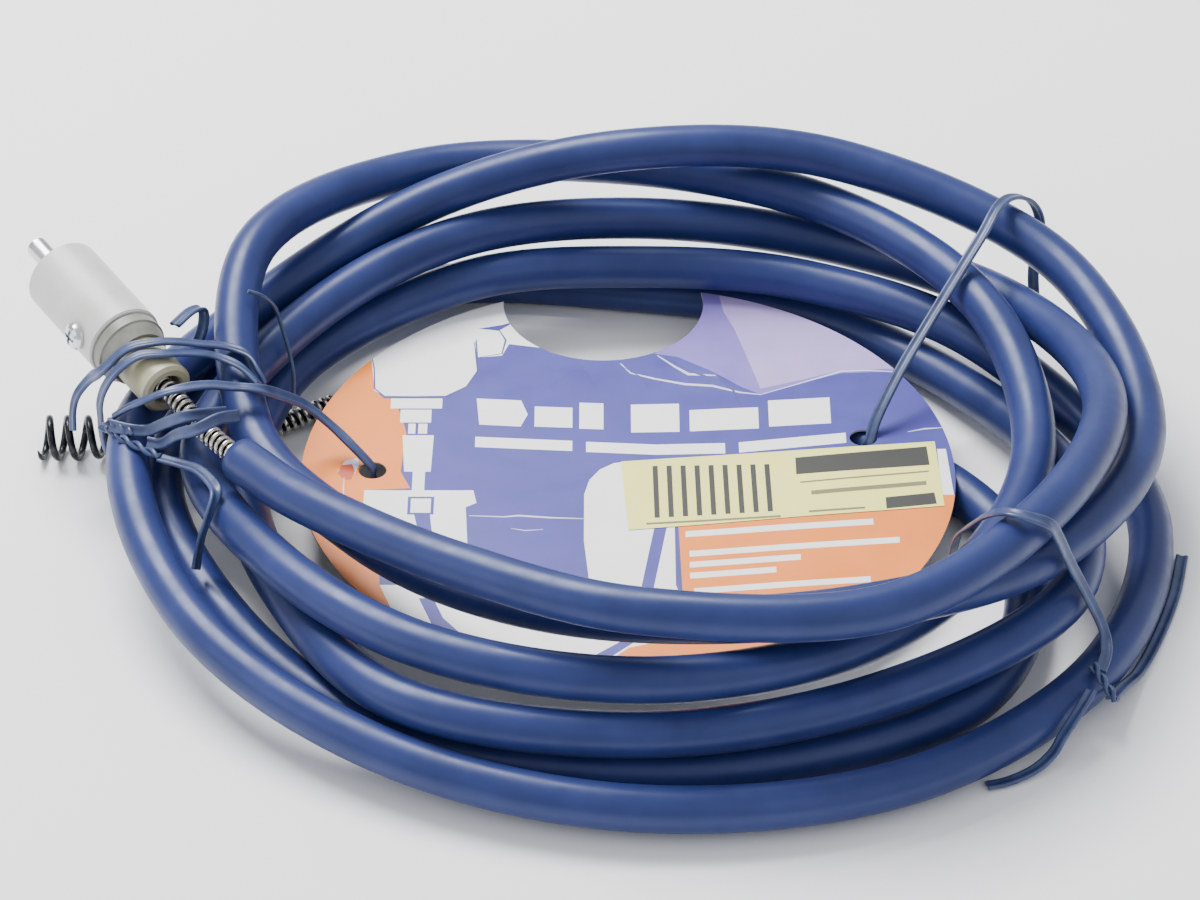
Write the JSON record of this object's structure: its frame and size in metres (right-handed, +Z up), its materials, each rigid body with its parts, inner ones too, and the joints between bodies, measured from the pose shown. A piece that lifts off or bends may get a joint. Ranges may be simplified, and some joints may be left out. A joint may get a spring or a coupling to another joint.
{
  "type": "drain auger",
  "caption": "Spring-cable drain auger in a coiled flexible hose, with a sleeve and shank that an electric drill spins and a corkscrew tip, tied to a round card.",
  "frame": {"origin": "on the floor under the centre of the bounding box of the tied coil", "axes": "+Z up out of the flat coil; +X to the right and +Y away when the drive head is at the left; the corkscrew points along -X"},
  "size_m": [0.334, 0.2745, 0.0631],
  "materials": {
    "blue_hose": "satin flexible vinyl hose, deep blue",
    "spring_steel": "bright open-wound spring wire",
    "hub_steel": "turned steel, dull",
    "shank_steel": "bright turned steel",
    "sleeve_grey": "light grey moulded sleeve",
    "collar_grey": "grey moulded collar",
    "bush_cream": "cream moulded bush",
    "screw_zinc": "bright zinc-plated screw",
    "card_print": "printed violet-blue and orange card, no lettering",
    "sticker_paper": "pale yellow printed paper",
    "tip_steel": "oil-tempered spring wire, nearly black",
    "tie_blue": "twin-wire plastic-coated flat tie, slate blue",
    "wire_dark": "thin plastic-coated wire"
  },
  "bodies": {
    "coil": {"hose": "blue_hose", "drain_cable": "spring_steel", "display_card": "card_print", "price_sticker": "sticker_paper", "card_tie_right": "tie_blue", "bundle_tie_right": "tie_blue", "bundle_tie_right_under": "tie_blue", "bundle_tie_right_tail": "tie_blue", "bundle_tie_left": "tie_blue", "bundle_tie_left_lower": "tie_blue", "bundle_tie_left_drop": "tie_blue", "bundle_tie_left_end": "tie_blue", "card_tie_left": "tie_blue", "knot_tie_left": "tie_blue", "knot_tie_left_lower": "tie_blue", "twist_wire": "wire_dark"},
    "drive": {"drill_shank": "shank_steel", "drive_hub": "hub_steel", "coupling_sleeve": "sleeve_grey", "sleeve_collar": "collar_grey", "guide_bush": "bush_cream", "clamp_screw": "screw_zinc", "cable_drive_end": "spring_steel"},
    "tip": {"tip_shank": "spring_steel", "corkscrew_tip": "tip_steel"}
  },
  "joints": [
    {"name": "drive_spin", "type": "hinge", "parent": "coil", "child": "drive", "pos_m": [-0.1215, 0.0125, 0.042], "axis": [-0.5571, 0.8259, 0.0872], "continuous": true},
    {"name": "tip_spin", "type": "hinge", "parent": "coil", "child": "tip", "pos_m": [-0.1328, 0.038, 0.007], "axis": [1, 0, 0], "continuous": true}
  ],
  "couplings": [
    {"joint": "tip_spin", "follows": "drive_spin", "ratio": -1}
  ]
}
